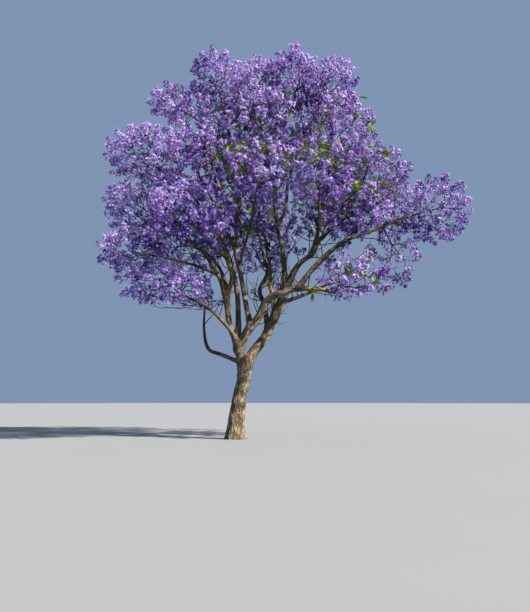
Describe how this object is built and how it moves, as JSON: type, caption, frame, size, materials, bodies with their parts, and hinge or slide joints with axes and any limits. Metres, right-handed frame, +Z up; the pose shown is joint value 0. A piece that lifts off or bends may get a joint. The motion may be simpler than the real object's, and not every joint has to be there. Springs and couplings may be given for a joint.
{
  "type": "jacaranda tree",
  "caption": "Flowering jacaranda tree: a leaning trunk with a root flare, forked crooked limbs and open masses of violet blossom, rooted in level ground.",
  "frame": {"origin": "middle of the flat cut under the trunk, at ground level", "axes": "+X to the right and +Y away from the viewer in the front view, +Z up"},
  "size_m": [12.7044, 9.8826, 13.7964],
  "materials": {
    "bark": "rough grey-brown bark with vertical ridges, darker plates and a little yellow lichen",
    "blossom": "matt soft petals, from pale pinkish lilac to deep violet",
    "leaf": "matt lime-green young leaves in feathery sprays"
  },
  "bodies": {
    "root": {"trunk": "bark", "left_leader": "bark", "right_leader": "bark", "cross_limb": "bark", "low_left_limb": "bark", "left_low_limb": "bark", "left_upright": "bark", "left_climber": "bark", "left_outer_limb": "bark", "left_arm": "bark", "wing_limb": "bark", "shoulder_limb": "bark", "rear_left_limb": "bark", "straight_stem": "bark", "centre_stem": "bark", "centre_left_arm": "bark", "front_arm": "bark", "rear_top_limb": "bark", "crooked_stem": "bark", "lichen_stem": "bark", "right_upright": "bark", "crest_riser": "bark", "crest_limb": "bark", "right_climber": "bark", "right_front_arm": "bark", "shoulder_riser": "bark", "right_high_limb": "bark", "rear_right_limb": "bark", "right_arch": "bark", "curtain_limb": "bark", "right_low_limb": "bark", "rear_low_limb": "bark", "low_left_sprig": "blossom", "left_skirt": "blossom", "top_left": "blossom", "left_outer": "blossom", "left_low_outer": "blossom", "left_front": "blossom", "upper_left_wing": "blossom", "left_shoulder": "blossom", "back_left": "blossom", "left_high": "blossom", "top_middle": "blossom", "left_inner": "blossom", "centre_front": "blossom", "back_top": "blossom", "centre_deep": "blossom", "back_centre": "blossom", "centre_upper": "blossom", "top_right": "blossom", "top_crest": "blossom", "right_middle": "blossom", "right_front": "blossom", "right_shoulder": "blossom", "right_high": "blossom", "back_right": "blossom", "far_right": "blossom", "right_curtain": "blossom", "right_low": "blossom", "back_low_right": "blossom"}
  },
  "joints": []
}
